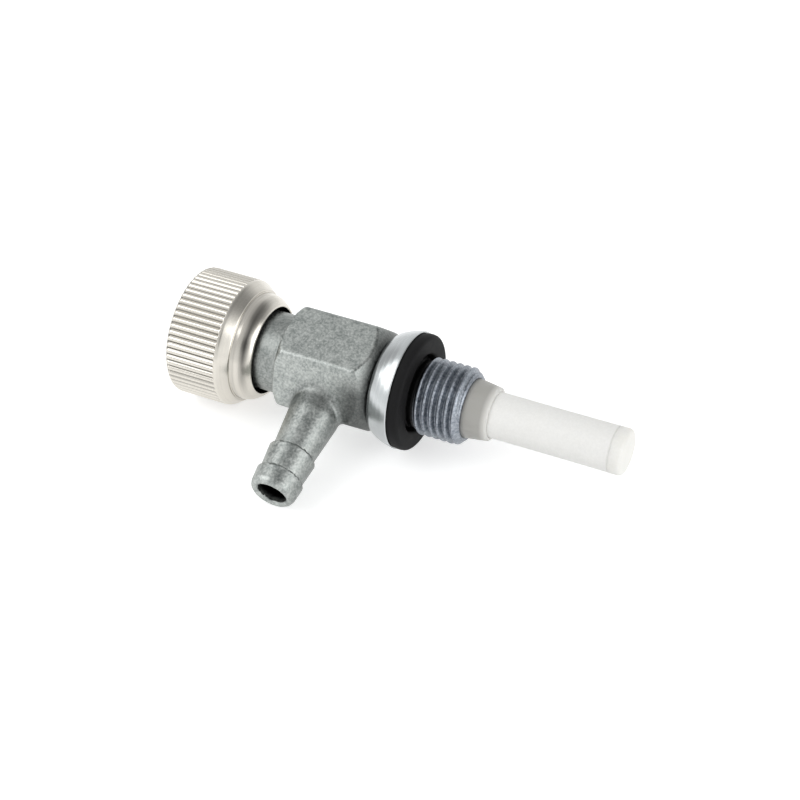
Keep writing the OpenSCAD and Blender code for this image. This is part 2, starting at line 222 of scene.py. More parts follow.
def turned_rows(profile, count):
    """Rows for a plain turned shape. profile is [x, r] points, and each row is the circle
    (x, r sin t, -r cos t), with t from 0 to a full turn in count steps."""
    t = np.arange(count) * 2 * math.pi / count
    profile = np.asarray(profile, float)
    x = np.repeat(profile[:, :1], count, 1)
    return np.stack([x, profile[:, 1:] * np.sin(t), -profile[:, 1:] * np.cos(t)], -1)


def rounded(profile, radius, steps=4, loop=False):
    """The profile with each inner corner replaced by an arc that cuts it off by radius, or by
    a third of the shorter side where that is less. radius may be a list, one a corner."""
    pts = np.asarray(profile, float)
    n = len(pts)
    radii = np.full(n, radius, float) if np.isscalar(radius) else np.asarray(radius, float)
    out = []
    for i in range(n):
        if not loop and i in (0, n - 1):
            out.append(pts[i])
            continue
        p, q, r = pts[i - 1], pts[i], pts[(i + 1) % n]
        back, ahead = np.linalg.norm(p - q), np.linalg.norm(r - q)
        cut = min(radii[i], back * 0.45, ahead * 0.45)
        if cut < 1e-4:
            out.append(q)
            continue
        a, b = q + (p - q) * cut / back, q + (r - q) * cut / ahead
        for k in range(steps + 1):
            s = k / steps
            out.append(a * (1 - s) ** 2 + 2 * q * s * (1 - s) + b * s * s)
    return np.array(out)


def spaced(profile, longest):
    """The profile with points added so that no step is longer than longest."""
    out = [profile[0]]
    for p, q in zip(profile[:-1], profile[1:]):
        parts = max(1, int(math.ceil(np.linalg.norm(np.subtract(q, p)) / longest)))
        out += [np.add(p, np.subtract(q, p) * (k + 1) / parts) for k in range(parts)]
    return np.array(out)


# %% [markdown]
# ## Node groups
# Two groups carry the effects that several materials share. `cast_grain` mixes two colours in
# soft patches with fine speckle over them, for cast and moulded skin. `turned_lines` gives
# the fine rings that a lathe leaves, read from the distance along and out from the axis.
# Each puts out colours, values and normals only.


# %% Node group helpers
def new_group(name, inputs, outputs):
    """A shader node group with named sockets. inputs and outputs are (name, kind, default)."""
    group = bpy.data.node_groups.new(name, "ShaderNodeTree")
    for direction, sockets in (("INPUT", inputs), ("OUTPUT", outputs)):
        for socket_name, kind, default in sockets:
            socket = group.interface.new_socket(
                name=socket_name, in_out=direction, socket_type=kind
            )
            if default is not None:
                socket.default_value = default
    group_in = group.nodes.new("NodeGroupInput")
    group_out = group.nodes.new("NodeGroupOutput")
    return group, group_in, group_out


def math_node(tree, operation, a, b=None):
    """A Math node fed by sockets or numbers. Returns its output socket."""
    node = tree.nodes.new("ShaderNodeMath")
    node.operation = operation
    for socket, value in zip(node.inputs, (a, b)):
        if value is None:
            continue
        if isinstance(value, (int, float)):
            socket.default_value = value
        else:
            tree.links.new(value, socket)
    return node.outputs[0]


def noise_node(tree, vector, scale, detail, roughness=0.55):
    """A Noise Texture on a vector socket. Returns its Factor output."""
    node = tree.nodes.new("ShaderNodeTexNoise")
    if isinstance(scale, (int, float)):
        node.inputs["Scale"].default_value = scale
    else:
        tree.links.new(scale, node.inputs["Scale"])
    node.inputs["Detail"].default_value = detail
    node.inputs["Roughness"].default_value = roughness
    tree.links.new(vector, node.inputs["Vector"])
    return node.outputs[0]


def ramp_node(tree, factor, low, high):
    """A linear Map Range from low..high to 0..1, clamped. Returns its output socket."""
    node = tree.nodes.new("ShaderNodeMapRange")
    node.inputs["From Min"].default_value = low
    node.inputs["From Max"].default_value = high
    tree.links.new(factor, node.inputs["Value"])
    return node.outputs["Result"]


def mix_colour(tree, factor, a, b):
    """A colour Mix node. a and b are colours or sockets. Returns its output socket."""
    node = tree.nodes.new("ShaderNodeMix")
    node.data_type = "RGBA"
    if isinstance(factor, (int, float)):
        node.inputs[0].default_value = factor
    else:
        tree.links.new(factor, node.inputs[0])
    for socket, value in ((node.inputs[6], a), (node.inputs[7], b)):
        if isinstance(value, (tuple, list)):
            socket.default_value = (*value[:3], 1.0)
        else:
            tree.links.new(value, socket)
    return node.outputs[2]


def object_coordinates(tree):
    """The Object output of a Texture Coordinate node, in metres."""
    return tree.nodes.new("ShaderNodeTexCoord").outputs["Object"]


# %% Group: cast grain
cast_grain, gi, go = new_group(
    "cast_grain",
    [
        ("Light", "NodeSocketColor", (0.5, 0.5, 0.5, 1.0)),
        ("Dark", "NodeSocketColor", (0.3, 0.3, 0.3, 1.0)),
        ("Patch Scale", "NodeSocketFloat", 500.0),
        ("Speckle", "NodeSocketFloat", 0.5),
        ("Relief", "NodeSocketFloat", 0.2),
    ],
    [
        ("Color", "NodeSocketColor", None),
        ("Mask", "NodeSocketFloat", None),
        ("Normal", "NodeSocketVector", None),
    ],
)
where = object_coordinates(cast_grain)
patches = noise_node(cast_grain, where, gi.outputs["Patch Scale"], 3.0)
speckle = noise_node(cast_grain, where, 3200.0, 2.0, 0.7)
patch_mask = ramp_node(cast_grain, patches, 0.36, 0.66)
speckle_mask = ramp_node(cast_grain, speckle, 0.40, 0.66)
grain_mask = math_node(
    cast_grain,
    "ADD",
    math_node(
        cast_grain,
        "MULTIPLY",
        patch_mask,
        math_node(cast_grain, "SUBTRACT", 1.0, gi.outputs["Speckle"]),
    ),
    math_node(cast_grain, "MULTIPLY", speckle_mask, gi.outputs["Speckle"]),
)
grain_colour = mix_colour(cast_grain, grain_mask, gi.outputs["Dark"], gi.outputs["Light"])
relief = cast_grain.nodes.new("ShaderNodeBump")
relief.inputs["Distance"].default_value = 0.00004
cast_grain.links.new(gi.outputs["Relief"], relief.inputs["Strength"])
cast_grain.links.new(
    math_node(cast_grain, "ADD", patches, math_node(cast_grain, "MULTIPLY", speckle, 0.6)),
    relief.inputs["Height"],
)
cast_grain.links.new(grain_colour, go.inputs["Color"])
cast_grain.links.new(grain_mask, go.inputs["Mask"])
cast_grain.links.new(relief.outputs["Normal"], go.inputs["Normal"])

# %% Group: turned lines
turned_lines, gi, go = new_group(
    "turned_lines",
    [
        ("Rings", "NodeSocketFloat", 9000.0),
        ("Relief", "NodeSocketFloat", 0.15),
    ],
    [
        ("Mask", "NodeSocketFloat", None),
        ("Normal", "NodeSocketVector", None),
    ],
)
parts = turned_lines.nodes.new("ShaderNodeSeparateXYZ")
turned_lines.links.new(object_coordinates(turned_lines), parts.inputs[0])
out_squared = math_node(
    turned_lines,
    "ADD",
    math_node(turned_lines, "POWER", parts.outputs[1], 2.0),
    math_node(turned_lines, "POWER", parts.outputs[2], 2.0),
)
along = math_node(
    turned_lines, "ADD", parts.outputs[0], math_node(turned_lines, "SQRT", out_squared)
)
ring_place = turned_lines.nodes.new("ShaderNodeCombineXYZ")
turned_lines.links.new(along, ring_place.inputs[0])
rings = noise_node(turned_lines, ring_place.outputs[0], gi.outputs["Rings"], 2.0, 0.6)
ring_relief = turned_lines.nodes.new("ShaderNodeBump")
ring_relief.inputs["Distance"].default_value = 0.00002
turned_lines.links.new(gi.outputs["Relief"], ring_relief.inputs["Strength"])
turned_lines.links.new(rings, ring_relief.inputs["Height"])
turned_lines.links.new(rings, go.inputs["Mask"])
turned_lines.links.new(ring_relief.outputs["Normal"], go.inputs["Normal"])

# %% [markdown]
# ## Materials
# Colours are linear. The casting is a mottled grey with a bluish cast on its turned spigot, the
# knob a warm bright nickel, the cup washer a cool bright zinc plate, the strainer a milky nylon
# that light passes into.


# %% Material helpers
def new_material(name):
    """A material with its Principled shader. Returns (material, tree, shader)."""
    material = bpy.data.materials.new(name)
    material.use_nodes = True
    tree = material.node_tree
    return material, tree, tree.nodes["Principled BSDF"]


def place_group(tree, group, **values):
    """Places a node group in a tree and sets its named inputs, with _ for a space."""
    node = tree.nodes.new("ShaderNodeGroup")
    node.node_tree = group
    for key, value in values.items():
        socket = node.inputs[key.replace("_", " ")]
        socket.default_value = (*value, 1.0) if isinstance(value, tuple) else value
    return node


def apply_painted_darkening(tree, colour, shade=(0.012, 0.012, 0.012)):
    """Mixes a colour towards a near-black shade by a per-point attribute of the mesh, which
    paints shade into the colour. Returns its output socket.
    """
    deep = tree.nodes.new("ShaderNodeAttribute")
    deep.attribute_name = "painted_darkening"
    return mix_colour(tree, deep.outputs["Fac"], colour, shade)


def cast_material(name, light, dark, metallic, roughness, patch=500.0, speckle=0.5, relief=0.2):
    """Cast or moulded skin: patches and speckle between two colours, with a slight relief."""
    material, tree, shader = new_material(name)
    grain = place_group(
        tree, cast_grain, Light=light, Dark=dark, Patch_Scale=patch, Speckle=speckle, Relief=relief
    )
    # The mesh's per-point attribute darkens this colour with painted shade.
    tree.links.new(apply_painted_darkening(tree, grain.outputs["Color"]), shader.inputs["Base Color"])
    tree.links.new(grain.outputs["Normal"], shader.inputs["Normal"])
    rough = tree.nodes.new("ShaderNodeMapRange")
    rough.inputs["To Min"].default_value = roughness[0]
    rough.inputs["To Max"].default_value = roughness[1]
    tree.links.new(grain.outputs["Mask"], rough.inputs["Value"])
    tree.links.new(rough.outputs["Result"], shader.inputs["Roughness"])
    shader.inputs["Metallic"].default_value = metallic
    return material


def turned_material(name, colour, shade, roughness, rings=9000.0, relief=0.15):
    """Turned or pressed bright metal: rings between two colours, with a slight relief."""
    material, tree, shader = new_material(name)
    lines = place_group(tree, turned_lines, Rings=rings, Relief=relief)
    mask = ramp_node(tree, lines.outputs["Mask"], 0.3, 0.7)
    # The mesh's per-point attribute darkens this colour with painted shade.
    colour_socket = apply_painted_darkening(tree, mix_colour(tree, mask, shade, colour))
    tree.links.new(colour_socket, shader.inputs["Base Color"])
    tree.links.new(lines.outputs["Normal"], shader.inputs["Normal"])
    shader.inputs["Roughness"].default_value = roughness
    shader.inputs["Metallic"].default_value = 1.0
    return material


# %% Materials
casting = cast_material(
    "zinc_casting", (0.54, 0.56, 0.54), (0.25, 0.27, 0.26), 1.0, (0.34, 0.52),
    patch=800.0, speckle=0.6, relief=0.8,
)
casting_thread = cast_material(
    "zinc_thread", (0.42, 0.45, 0.49), (0.14, 0.155, 0.18), 1.0, (0.34, 0.50),
    patch=900.0, speckle=0.7, relief=1.0,
)
nickel = turned_material(
    "nickel_plate", (0.70, 0.67, 0.61), (0.60, 0.57, 0.515), 0.24, rings=5000.0, relief=0.05
)
zinc_plate = turned_material(
    "zinc_plate", (0.58, 0.60, 0.60), (0.46, 0.48, 0.49), 0.27, rings=5000.0, relief=0.08
)
brass = turned_material("brass", (0.80, 0.62, 0.33), (0.66, 0.48, 0.22), 0.28)
rubber = cast_material(
    "rubber", (0.010, 0.010, 0.011), (0.005, 0.005, 0.005), 0.0, (0.62, 0.75), relief=0.4
)
rubber.node_tree.nodes["Principled BSDF"].inputs["Specular IOR Level"].default_value = 0.15
nylon = cast_material(
    "nylon", (0.82, 0.81, 0.775), (0.76, 0.75, 0.71), 0.0, (0.38, 0.48), patch=250.0, relief=0.05
)
gauze = cast_material(
    "gauze", (0.96, 0.945, 0.90), (0.91, 0.895, 0.85), 0.0, (0.50, 0.60), speckle=0.7, relief=0.3
)
for milky in (nylon, gauze):
    skin = milky.node_tree.nodes["Principled BSDF"]
    skin.inputs["Subsurface Weight"].default_value = 0.3
    skin.inputs["Subsurface Radius"].default_value = (1.0, 0.95, 0.85)
    skin.inputs["Subsurface Scale"].default_value = 0.002

# The thick collar lets no light through, so its shade is painted: the moulding's colour greys from
# its tip to the spigot
COLLAR_SHADE_GREY = (0.36, 0.352, 0.33)
tree = nylon.node_tree
skin = tree.nodes["Principled BSDF"]
place = tree.nodes.new("ShaderNodeSeparateXYZ")
tree.links.new(object_coordinates(tree), place.inputs[0])
collar_shade = ramp_node(tree, place.outputs[0], 10.4 * MM, 9.2 * MM)
plain = skin.inputs["Base Color"].links[0].from_socket
tree.links.new(mix_colour(tree, collar_shade, plain, COLLAR_SHADE_GREY), skin.inputs["Base Color"])

# %% [markdown]
# ## The casting
# The body is one casting, so its skin is one surface. It is described by a signed distance
# `casting_distance(p)`, negative inside, and drawn where that is nought. Distances are joined
# with soft maximum and minimum, which leaves the rounded edges and the fillets of a casting:
# `soft_max(a, b, k) = max(a, b) + h^2 k / 4`, with `h = max(k - |a - b|, 0) / k`.


# %% Distances
def soft_max(a, b, k):
    """Maximum of two distances with its crease rounded over a width k."""
    h = np.maximum(k - np.abs(a - b), 0.0) / k
    return np.maximum(a, b) + h * h * k / 4


def soft_min(a, b, k):
    """Minimum of two distances with its crease rounded over a width k."""
    return -soft_max(-a, -b, k)


def outline_distance(corners, a, b):
    """Signed distance from points (a, b) to a closed polygon: the least distance to its sides,
    negative where a ray from the point crosses them an odd number of times."""
    corners = np.asarray(corners, float)
    nearest = np.full(a.shape, 1e9)
    inside = np.zeros(a.shape, bool)
    for p, q in zip(corners, np.roll(corners, -1, 0)):
        e = q - p
        wa, wb = a - p[0], b - p[1]
        t = np.clip((wa * e[0] + wb * e[1]) / (e @ e), 0.0, 1.0)
        nearest = np.minimum(nearest, (wa - t * e[0]) ** 2 + (wb - t * e[1]) ** 2)
        if p[1] != q[1]:
            crosses = (p[1] > b) != (q[1] > b)
            inside ^= crosses & (a < p[0] + (b - p[1]) / e[1] * e[0])
    return np.where(inside, -1.0, 1.0) * np.sqrt(nearest)


BELOW = -30.0
TURNED_ENDS = [
    [NECK_END_X, BELOW], [NECK_END_X, NECK_R - 0.3], [NECK_END_X + 0.3, NECK_R],
    [HEX_BACK_X + 0.5, NECK_R], [HEX_FRONT_X - 0.5, LAND_R], [CUP_BACK_X, LAND_R],
    [CUP_BACK_X, THREAD_R - 0.02], [-RELIEF_END - 0.3, THREAD_R - 0.02], [-0.3, CORE_R + 0.1],
    [0.3, CORE_R + 0.1], [0.6, CORE_R], [SPIGOT_END - 0.05, CORE_R], [SPIGOT_END - 0.05, BELOW],
]
AXIAL_BORE = [
    [-26.0, BELOW], [-26.0, 4.5], [-23.6, 4.5], [-23.6, 4.0], [-18.0, 4.0], [-18.0, 3.4],
    [-6.85, 3.4], [-6.85, 2.0], [-7.45, 2.0], [-7.45, 1.3], [-2.55, 1.3], [-2.55, 3.72],
    [9.0, 3.72], [9.0, BELOW],
]
BARB_OUTSIDE = [
    [1.0, BELOW], [1.0, 3.3], [7.9, 3.3], [13.70, 2.75], [13.95, 3.15], [17.275, 2.825],
    [17.4, 3.15], [19.3, 2.98], [19.75, 2.8], [20.0, 2.5], [20.1, 2.1], [20.1, BELOW],
]
BARB_BORE = [[1.0, BELOW], [1.0, 1.95], [19.75, 1.95], [20.6, 2.8], [20.6, BELOW]]


def casting_distance(p):
    """Signed distance of the casting at points p, in millimetres."""
    x = p[:, 0]
    r = np.hypot(p[:, 1], p[:, 2])
    out, side = p @ BARB_OUT, p @ BARB_SIDE
    flats = [np.abs(out * math.cos(a) + side * math.sin(a)) - HEX_AF / 2
             for a in np.radians([30.0, 90.0, 150.0])]
    body = soft_max(soft_max(flats[0], flats[1], 0.4), flats[2], 0.4)
    front = (r - HEX_FRONT_R) * math.sin(HEX_FRONT_SLOPE)
    front += (x - HEX_FRONT_X) * math.cos(HEX_FRONT_SLOPE)
    back = (r - HEX_BACK_R) * math.sin(HEX_BACK_SLOPE)
    back -= (x - HEX_BACK_X) * math.cos(HEX_BACK_SLOPE)
    ends = soft_max(x - HEX_FRONT_X, HEX_BACK_X - x, 0.1)
    body = soft_max(body, soft_max(front, back, 0.1), 0.2)
    body = soft_max(body, ends, 0.2)
    barb_r = np.hypot(side, x - BARB_X)
    barb = outline_distance(BARB_OUTSIDE, out, barb_r)
    body = soft_min(body, barb, 0.7)
    body = soft_min(body, outline_distance(TURNED_ENDS, x, r), 0.15)
    bored = np.minimum(outline_distance(AXIAL_BORE, x, r), outline_distance(BARB_BORE, out, barb_r))
    return soft_max(body, -bored, 0.15)


# %% [markdown]
# ### Drawing the surface
# A grid of cells covers the casting. A cell that the surface passes through gets one point, at
# the mean of the places where the surface cuts its edges, and each cut grid edge joins the
# four cells round it. Two Newton steps, `p - f g / |g|^2`, then pull each point on to it.


# %% Surface of a signed distance
def gradient(distance, p, step=0.02):
    """Central differences of distance at points p."""
    g = np.empty_like(p)
    for k in range(3):
        d = np.zeros(3)
        d[k] = step
        g[:, k] = (distance(p + d) - distance(p - d)) / (2 * step)
    return g


def surface(distance, low, high, cell):
    """Points, quads and normals of the surface where distance is nought, in a box."""
    axes = [np.arange(a, b + cell, cell) for a, b in zip(low, high)]
    shape = tuple(len(a) for a in axes)
    values = np.empty(shape, np.float32)
    yy, zz = np.meshgrid(axes[1], axes[2], indexing="ij")
    for i, x in enumerate(axes[0]):
        slab = np.stack([np.full(yy.size, x), yy.ravel(), zz.ravel()], 1)
        values[i] = distance(slab).reshape(yy.shape)
    inner = tuple(n - 1 for n in shape)
    total = np.zeros(inner + (3,), np.float32)
    cuts = np.zeros(inner, np.int8)
    for axis in range(3):
        ahead = [slice(None)] * 3
        behind = [slice(None)] * 3
        ahead[axis], behind[axis] = slice(1, None), slice(None, -1)
        f0, f1 = values[tuple(behind)], values[tuple(ahead)]
        crossed = (f0 < 0) != (f1 < 0)
        share = np.where(crossed, f0 / np.where(crossed, f0 - f1, 1.0), 0.0)
        others = [k for k in range(3) if k != axis]
        for u in (0, 1):
            for v in (0, 1):
                pick = [slice(None)] * 3
                pick[others[0]] = slice(u, u + inner[others[0]])
                pick[others[1]] = slice(v, v + inner[others[1]])
                c, s = crossed[tuple(pick)], share[tuple(pick)]
                cuts += c
                total[..., axis] += np.where(c, s, 0.0)
                total[..., others[0]] += np.where(c, float(u), 0.0)
                total[..., others[1]] += np.where(c, float(v), 0.0)
    used = np.argwhere(cuts > 0)
    number = np.full(inner, -1, np.int64)
    number[tuple(used.T)] = np.arange(len(used))
    offset = total[tuple(used.T)] / cuts[tuple(used.T)][:, None]
    points = np.asarray(low, float) + (used + offset) * cell
    quads = []
    for axis in range(3):
        ahead = [slice(1, -1)] * 3
        behind = [slice(1, -1)] * 3
        ahead[axis], behind[axis] = slice(1, None), slice(None, -1)
        f0, f1 = values[tuple(behind)], values[tuple(ahead)]
        at = np.argwhere((f0 < 0) != (f1 < 0))
        leaving = (f0 < 0)[tuple(at.T)]
        u, v = (axis + 1) % 3, (axis + 2) % 3
        at[:, u] += 1
        at[:, v] += 1
        ring = []
        for du, dv in ((0, 0), (-1, 0), (-1, -1), (0, -1)):
            cell_at = at.copy()
            cell_at[:, u] += du
            cell_at[:, v] += dv
            ring.append(number[tuple(cell_at.T)])
        ring = np.stack(ring, 1)
        quads.append(np.where(leaving[:, None], ring, ring[:, ::-1]))
    quads = np.vstack(quads)
    for _ in range(3):
        g = gradient(distance, points)
        move = distance(points)[:, None] * g / np.maximum((g * g).sum(1), 0.05)[:, None]
        points -= np.clip(move, -cell, cell)
    g = gradient(distance, points)
    return points, outward(points, [tuple(f) for f in quads.tolist()]), g / np.linalg.norm(
        g, axis=1
    )[:, None]


def casting_painted_darkening(p):
    """Darkening painted into each point's colour: shade in a bore, in the gap behind the cup, under
    the collar and at the neck's root; a darker front cone, lower front, barb root and neck.
    """
    x = p[:, 0]
    r = np.hypot(p[:, 1], p[:, 2])
    out = p @ BARB_OUT
    barb_r = np.hypot(p @ BARB_SIDE, x - BARB_X)
    # Painted shade: in the barb's bore, in the gap behind the cup, on the neck under the knob's
    # collar and in the crease at the neck's root.
    bore = np.clip((2.3 - barb_r) / 0.25, 0.0, 1.0) * np.clip((19.7 - out) / 0.8, 0.0, 1.0)
    bore = bore * (out > 0.0)
    gap = np.clip((LAND_R + 0.4 - r) / 0.2, 0.0, 1.0) * np.clip((x + 5.25) / 0.1, 0.0, 1.0)
    collar = np.clip((COLLAR_RIM_X - LIFT - x) / 0.4, 0.0, 1.0)
    root = np.exp(-(((x - HEX_BACK_X) / 0.3) ** 2)) * (r < NECK_R + 0.4) * 0.45
    # Darker on the hexagon's front cone and lower front faces towards the cup, round the barb's
    # root and, a little, over the whole neck.
    cone_top = HEX_FRONT_X - (r - HEX_FRONT_R) * math.tan(HEX_FRONT_SLOPE)
    cone_darkening = np.clip((x - cone_top + 0.12) / 0.1, 0.0, 1.0) * np.clip((x + 7.1) / 1.6, 0.0, 1.0)
    low = np.clip((x + 10.0) / 3.0, 0.0, 1.0) * np.clip((p @ BARB_SIDE + 6.2) / 2.6, 0.0, 1.0)
    low = low * np.clip((out - 2.0) / 2.0, 0.0, 1.0) * (x > HEX_BACK_X)
    around_barb = np.clip((barb_r - 2.9) / 0.2, 0.0, 1.0) * np.exp(-((barb_r - 3.3) / 0.7) ** 2)
    around_barb = around_barb * np.clip((9.0 - out) / 1.5, 0.0, 1.0) * (out > 0)
    neck = (x < HEX_BACK_X - 0.2) * (r < NECK_R + 0.1) * 0.25
    cone_darkening, low, around_barb = cone_darkening * 0.65, low * 0.7, around_barb * 0.4
    return np.max([bore, gap, collar, root, neck, cone_darkening, low, around_barb], axis=0)


# %% Casting
cell = 0.185
points, faces, normals = surface(
    casting_distance, (-25.2, -20.8, -9.2), (7.5, 7.4, 8.2), cell
)
body_casting = add_mesh(
    "body_casting", points, faces, "tap", "tap_body", casting, normals,
    casting_painted_darkening(points),
)

# %% [markdown]
# ### The tank thread
# The thread is a sleeve on the casting's spigot. Its radius at angle `t` and place `x` is
# `R - depth * ridge((x - pitch t / 2 pi) / pitch)`, where `ridge` is a triangle wave with a
# blunt crest and a rounded root. It runs out at the relief groove and at the end chamfer.


# %% Tank thread
def thread_radius(x, t):
    """Radius of the thread at place x and angle t."""
    phase = np.mod((x - THREAD_PITCH * t / (2 * math.pi)) / THREAD_PITCH, 1.0)
    away = np.abs(phase - 0.5) * 2
    ridge = np.clip((away - 0.16) / 0.74, 0.0, 1.0)
    ridge = ridge * ridge * (3 - 2 * ridge) * 0.4 + ridge * 0.6
    full = THREAD_R - THREAD_DEPTH * ridge
    chamfer = THREAD_R - np.maximum(x - (SPIGOT_END - THREAD_CHAMFER), 0.0) * 1.05
    start = RELIEF_R + np.maximum(x - RELIEF_END + 0.35, 0.0) * 1.3
    return np.minimum(full, np.minimum(chamfer, start))


turns = 144
t = np.arange(turns) * 2 * math.pi / turns
x_out = np.linspace(RELIEF_END - 0.35, SPIGOT_END, 150)
outer = np.stack(
    [
        np.repeat(x_out[:, None], turns, 1),
        thread_radius(x_out[:, None], t) * np.sin(t),
        -thread_radius(x_out[:, None], t) * np.cos(t),
    ],
    -1,
)
inner_profile = [
    [SPIGOT_END, 4.0], [SPIGOT_END, 3.76], [SPIGOT_END - 0.3, 3.74],
    [SPIGOT_END - 0.45, 4.1], [RELIEF_END + 0.2, 4.1], [RELIEF_END - 0.3, 4.2],
]
thread_rows = np.concatenate([outer, turned_rows(inner_profile, turns)])
points, faces = closed_grid(thread_rows, True)
from_axis = np.hypot(points[:, 1], points[:, 2])
# Painted shade in the relief groove and, faintly, in the thread's valleys short of the end chamfer.
in_groove = np.clip((RELIEF_END + 0.1 - points[:, 0]) / 0.4, 0.0, 1.0) * 0.9
in_valley = np.clip((THREAD_R - from_axis) / THREAD_DEPTH, 0.0, 1.0) * 0.1
add_mesh(
    "spigot_thread", points, faces, "tap", "tap_body", casting_thread,
    painted_darkening=np.maximum(in_groove, in_valley * (points[:, 0] < SPIGOT_END - THREAD_CHAMFER)),
)

# %% [markdown]
# ## The knob
# Its knurl is cut in the turned profile: the radius is cut down to
# `R - depth * valley(phase)`, where the phase runs through one tooth and `valley` is nought
# on the blunt crest and one at the sharp bottom between two teeth.

# %% Knob
KNOB_PROFILE = [
    [KNOB_END_X, 0.0], [KNOB_END_X, 5.0], [KNOB_END_X, KNOB_R - 0.6],
    [KNOB_END_X + 0.12, KNOB_R - 0.25], [KNOB_END_X + 0.45, KNOB_R],
    [KNURL_FRONT_X - 0.12, KNOB_R], [KNURL_FRONT_X + 0.06, KNOB_R - 0.02],
    [KNURL_FRONT_X + 0.35, 8.3], [KNOB_FACE_X - 0.06, 7.44],
    [KNOB_FACE_X, 7.36], [KNOB_FACE_X - 0.03, 7.1],
    [-23.2, 7.08], [-22.7, 6.98], [-22.2, 6.74], [-21.7, 6.4], [COLLAR_RIM_X - 0.12, 6.1],
    [COLLAR_RIM_X, 5.9], [COLLAR_RIM_X - 0.1, 5.76], [COLLAR_RIM_X - 0.3, 5.75],
    [COLLAR_FLOOR_X, 5.75], [COLLAR_FLOOR_X, 2.5], [SHANK_END_X, 2.5], [SHANK_END_X, 0.0],
]
profile = rounded(KNOB_PROFILE, 0.14, 3)
profile = spaced(profile, 0.5)
steps = 8
turns = TEETH * steps
t = np.arange(turns) * 2 * math.pi / turns
phase = np.mod(t * TEETH / (2 * math.pi), 1.0)
valley = 1 - np.sin(math.pi * phase) ** 0.8
rows = turned_rows(profile, turns)
cut_r = KNOB_R - KNURL_DEPTH * valley
x_of, r_of = profile[:, :1], profile[:, 1:]
run_out = np.clip((KNURL_FRONT_X + 0.06 - x_of) / 0.12, 0.0, 1.0)
limit = KNOB_R + 0.05 - (KNOB_R + 0.05 - cut_r) * run_out
end_fall = np.clip((KNOB_END_X + 0.45 - x_of) / 0.45, 0.0, 1.0)
limit = limit - 0.22 * end_fall * run_out
outside = (np.arange(len(profile)) > 0) & (x_of[:, 0] < KNURL_FRONT_X + 0.2) & (r_of[:, 0] > 7.6)
radius = np.where(outside[:, None], np.minimum(r_of, limit), r_of)
rows = np.stack(
    [np.repeat(x_of, turns, 1), radius * np.sin(t), -radius * np.cos(t)], -1
)
points, faces = closed_grid(rows, False)
# Painted shade in the knurl's valleys and inside the collar. Painted dark bands: a dark reflection
# on the front side of the collar's cove, and shade in the corner by the knob's face.
under_collar = (r_of < 5.78) & (x_of > COLLAR_FLOOR_X - 0.1)
front_side = np.maximum(np.cos(t + 2.3), 0.0) ** 2
painted_dark_bands = np.exp(-(((x_of + 22.2) / 0.45) ** 2)) * front_side * 0.82
painted_dark_bands = np.maximum(painted_dark_bands, np.exp(-(((x_of + 23.5) / 0.35) ** 2)) * 0.28)
painted_darkening = np.where(
    outside[:, None], valley ** 2 * 0.95 * run_out, np.maximum(under_collar, painted_dark_bands)
)
add_mesh(
    "knob", points, faces, "knob", "control_knob", nickel,
    painted_darkening=np.append(painted_darkening[1:-1].ravel(), [0.0, 0.0]),
)

# %% [markdown]
# ## Washers
# The cup washer is pressed from sheet: a flat back, a domed side and a narrow bright rim. The
# rubber fills it and stands proud, with a rounded outer edge.

# %% Cup washer and rubber
CUP_PROFILE = [
    [CUP_BACK_X, 5.05], [CUP_BACK_X, 6.4], [-4.25, 6.82], [-3.65, 7.12], [-3.05, 7.36],
    [-2.3, 7.58], [CUP_RIM_X - 0.1, 7.7], [CUP_RIM_X, 7.66], [CUP_RIM_X, 7.15], [-2.3, 7.02],
    [-3.05, 6.78], [-3.65, 6.54], [-4.15, 6.3], [-4.15, 5.05],
]
points, faces = closed_grid(turned_rows(rounded(CUP_PROFILE, 0.12, 3, True), 192), True)
add_mesh("cup", points, faces, "tap", "cup_washer", zinc_plate)
RUBBER_PROFILE = [
    [-4.13, 5.06], [-4.13, 6.2], [-3.65, 6.5], [-3.05, 6.75], [-2.3, 7.0], [CUP_RIM_X - 0.05, 7.12],
    [CUP_RIM_X + 0.02, 7.5], [-0.8, 7.58], [-0.25, 7.5], [0.0, 7.2], [0.0, 5.3], [-0.2, 5.08],
]
points, faces = closed_grid(turned_rows(rounded(RUBBER_PROFILE, 0.22, 4, True), 160), True)
add_mesh("rubber_ring", points, faces, "tap", "seal_washer", rubber)

# %% [markdown]
# ## Strainer
# The moulded frame keeps the CAD mesh, merged and with its edges softened. The gauze is drawn
# over its four ribs a little below the cap, which leaves the fine ring seen at the cap.


# %% Strainer
def softened_copy(node, name, width, material):
    """A copy of a CAD node with doubles merged and its sharp edges bevelled."""
    source = frame["nodes"][node]
    mesh = source.data.copy()
    mesh.name = name
    made = bpy.data.objects.new(name, mesh)
    bpy.context.scene.collection.objects.link(made)
    work = bmesh.new()
    work.from_mesh(mesh)
    bmesh.ops.remove_doubles(work, verts=work.verts, dist=1e-6)
    bmesh.ops.recalc_face_normals(work, faces=work.faces)
    bmesh.ops.dissolve_limit(
        work, angle_limit=math.radians(1.0), verts=work.verts, edges=work.edges
    )
    work.to_mesh(mesh)
    work.free()
    mesh.polygons.foreach_set("use_smooth", np.ones(len(mesh.polygons), bool))
    mesh.materials.clear()
    mesh.materials.append(material)
    bevel = made.modifiers.new("soft edges", "BEVEL")
    bevel.width = width * MM
    bevel.segments = 2
    bevel.limit_method = "ANGLE"
    bevel.angle_limit = math.radians(30)
    bevel.harden_normals = True
    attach(made, source["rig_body"])
    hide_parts(node)
    return made


